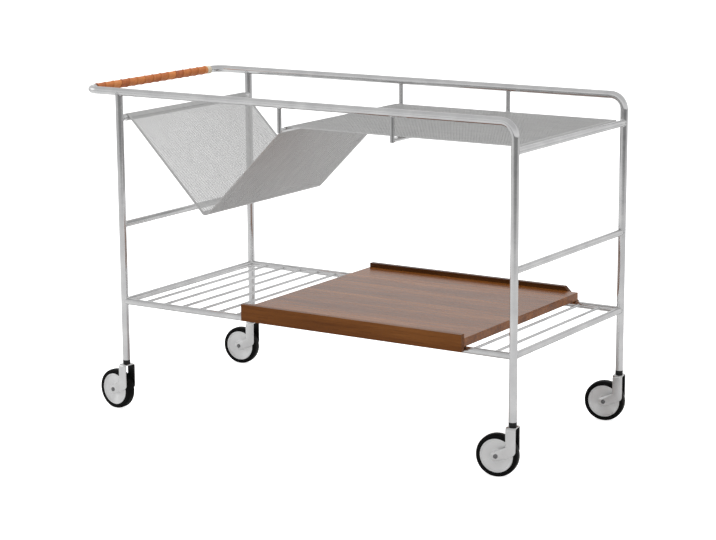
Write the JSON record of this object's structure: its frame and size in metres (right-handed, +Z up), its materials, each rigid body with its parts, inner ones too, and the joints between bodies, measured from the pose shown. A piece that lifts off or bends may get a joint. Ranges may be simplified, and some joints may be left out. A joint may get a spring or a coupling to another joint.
{
  "type": "side trolley",
  "caption": "Side trolley on four swivel casters with a bent tube frame, wrapped handle, folded sheet pocket and top shelf, rod shelf and loose wooden tray.",
  "frame": {"origin": "on the floor under the middle of the trolley", "axes": "+X from the handle end to the other end, +Y to the back, +Z up"},
  "size_m": [0.9226, 0.446, 0.6114],
  "materials": {
    "chrome_tube": "bright chrome plate",
    "perforated_steel": "fine perforated sheet, matt nickel look",
    "grip_leather": "cognac leather strap, waxed",
    "walnut": "oiled walnut, satin",
    "black_collar": "moulded black plastic",
    "pin_steel": "turned steel",
    "chrome_fork": "chromed pressed steel strap",
    "wheel_disc": "turned and polished",
    "bush_plastic": "natural nylon",
    "black_tyre": "smooth black rubber"
  },
  "bodies": {
    "frame": {"frame_loop": "chrome_tube", "left_leg_front": "chrome_tube", "left_leg_back": "chrome_tube", "crossbar_pocket": "chrome_tube", "crossbar_fold": "chrome_tube", "crossbar_shelf": "chrome_tube", "crossbar_end": "chrome_tube", "post_fold_front": "chrome_tube", "post_fold_back": "chrome_tube", "post_shelf_front": "chrome_tube", "post_shelf_back": "chrome_tube", "side_bar_left": "chrome_tube", "side_bar_right": "chrome_tube", "shelf_bar_front": "chrome_tube", "shelf_bar_back": "chrome_tube", "shelf_bar_left": "chrome_tube", "shelf_bar_right": "chrome_tube", "shelf_rods": "chrome_tube", "mesh_sheet": "perforated_steel", "leather_grip": "grip_leather", "insert_front_left": "black_collar", "insert_back_left": "black_collar", "insert_front_right": "black_collar", "insert_back_right": "black_collar"},
    "tray": {"tray_board": "walnut", "tray_lip_front": "walnut", "tray_lip_back": "walnut"},
    "swivel_front_left": {"stem_front_left": "pin_steel", "fork_front_left": "chrome_fork", "axle_front_left": "pin_steel"},
    "wheel_front_left": {"disc_front_left": "wheel_disc", "bush_front_left": "bush_plastic", "tyre_front_left": "black_tyre"},
    "swivel_back_left": {"stem_back_left": "pin_steel", "fork_back_left": "chrome_fork", "axle_back_left": "pin_steel"},
    "wheel_back_left": {"disc_back_left": "wheel_disc", "bush_back_left": "bush_plastic", "tyre_back_left": "black_tyre"},
    "swivel_front_right": {"stem_front_right": "pin_steel", "fork_front_right": "chrome_fork", "axle_front_right": "pin_steel"},
    "wheel_front_right": {"disc_front_right": "wheel_disc", "bush_front_right": "bush_plastic", "tyre_front_right": "black_tyre"},
    "swivel_back_right": {"stem_back_right": "pin_steel", "fork_back_right": "chrome_fork", "axle_back_right": "pin_steel"},
    "wheel_back_right": {"disc_back_right": "wheel_disc", "bush_back_right": "bush_plastic", "tyre_back_right": "black_tyre"}
  },
  "joints": [
    {"name": "tray_slide", "type": "slide", "parent": "frame", "child": "tray", "axis": [1, 0, 0], "range_m": [-0.2725, 0.0825]},
    {"name": "swivel_front_left_turn", "type": "hinge", "parent": "frame", "child": "swivel_front_left", "pos_m": [-0.3733, -0.204, 0.089], "axis": [0, 0, 1], "continuous": true},
    {"name": "wheel_front_left_spin", "type": "hinge", "parent": "swivel_front_left", "child": "wheel_front_left", "pos_m": [-0.39911, -0.20083, 0.0375], "axis": [-0.1219, -0.9925, 0], "continuous": true},
    {"name": "swivel_back_left_turn", "type": "hinge", "parent": "frame", "child": "swivel_back_left", "pos_m": [-0.3733, 0.204, 0.089], "axis": [0, 0, 1], "continuous": true},
    {"name": "wheel_back_left_spin", "type": "hinge", "parent": "swivel_back_left", "child": "wheel_back_left", "pos_m": [-0.3992, 0.20173, 0.0375], "axis": [0.0872, -0.9962, 0], "continuous": true},
    {"name": "swivel_front_right_turn", "type": "hinge", "parent": "frame", "child": "swivel_front_right", "pos_m": [0.4517, -0.204, 0.089], "axis": [0, 0, 1], "continuous": true},
    {"name": "wheel_front_right_spin", "type": "hinge", "parent": "swivel_front_right", "child": "wheel_front_right", "pos_m": [0.4261, -0.20852, 0.0375], "axis": [0.1736, -0.9848, 0], "continuous": true},
    {"name": "swivel_back_right_turn", "type": "hinge", "parent": "frame", "child": "swivel_back_right", "pos_m": [0.4517, 0.204, 0.089], "axis": [0, 0, 1], "continuous": true},
    {"name": "wheel_back_right_spin", "type": "hinge", "parent": "swivel_back_right", "child": "wheel_back_right", "pos_m": [0.4261, 0.19948, 0.0375], "axis": [0.1736, -0.9848, 0], "continuous": true}
  ]
}
